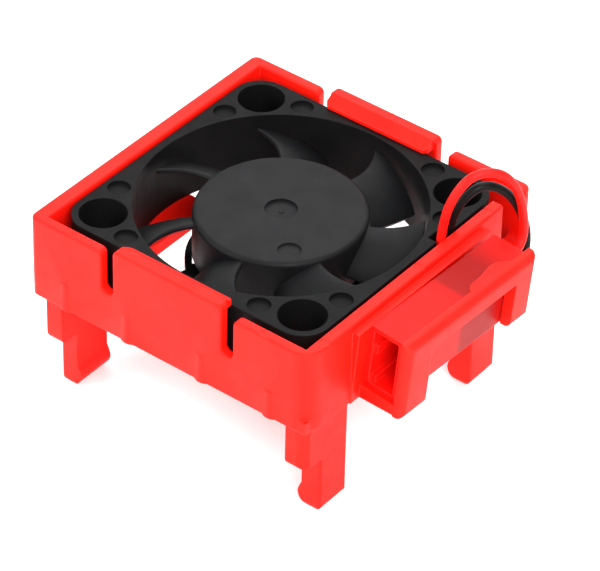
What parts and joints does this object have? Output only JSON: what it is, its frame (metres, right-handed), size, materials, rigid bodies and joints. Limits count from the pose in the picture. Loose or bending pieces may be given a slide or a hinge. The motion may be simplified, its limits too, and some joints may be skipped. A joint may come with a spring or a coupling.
{
  "type": "clip-on cooling fan",
  "caption": "Square axial fan snapped into a moulded frame whose legs clip over a motor controller; its lead's connector is parked in a side holder.",
  "frame": {"origin": "centre of the fan's hole pattern, on the fan's axis, inside the fan's rear flange, 0.6 mm above the fan's rear face and the top of the frame's ledges", "axes": "+Z along the fan's axis, out of the open inlet side; +X towards the connector holder; +Y towards the leads, so the snap tabs are on the walls at -Y and +Y"},
  "size_m": [0.0404, 0.0344, 0.0276],
  "materials": {
    "red_moulding": "smooth moulded nylon, slight sheen",
    "fan_plastic": "fine spark-eroded texture",
    "rotor_plastic": "fine spark-eroded texture",
    "connector_plastic": "translucent, smooth",
    "red_insulation": "smooth, glossy",
    "black_insulation": "smooth, glossy",
    "steel": "ground",
    "yoke_steel": "zinc plated",
    "magnet": "bonded ferrite, matt",
    "brass": "turned",
    "sintered_bronze": "sintered, oil-filled",
    "felt": "felt",
    "lamination": "stacked laminations",
    "insulator": "moulded",
    "copper_winding": "enamelled wire",
    "board": "solder mask",
    "chip_package": "moulded epoxy",
    "ceramic": "fired ceramic",
    "label": "printed film, blank",
    "tinned": "tin plated"
  },
  "bodies": {
    "housing": {"mount_frame": "red_moulding", "fan_frame": "fan_plastic", "connector_housing": "connector_plastic", "red_lead": "red_insulation", "black_lead": "black_insulation", "bearing_tube": "brass", "sleeve_bearing": "sintered_bronze", "oil_ring": "felt", "thrust_pad": "insulator", "stator_core": "lamination", "upper_insulator": "insulator", "lower_insulator": "insulator", "circuit_board": "board", "driver_chip": "chip_package", "filter_capacitor": "ceramic", "rear_label": "label", "upper_contact": "tinned", "lower_contact": "tinned", "stator_coil_1": "copper_winding", "stator_coil_2": "copper_winding", "stator_coil_3": "copper_winding", "stator_coil_4": "copper_winding"},
    "rotor": {"impeller": "rotor_plastic", "rotor_yoke": "yoke_steel", "rotor_magnet": "magnet", "shaft": "steel", "retaining_clip": "insulator"}
  },
  "joints": [
    {"name": "rotor_spin", "type": "hinge", "parent": "housing", "child": "rotor", "pos_m": [0, 0, 0.003], "axis": [0, 0, 1], "continuous": true}
  ]
}
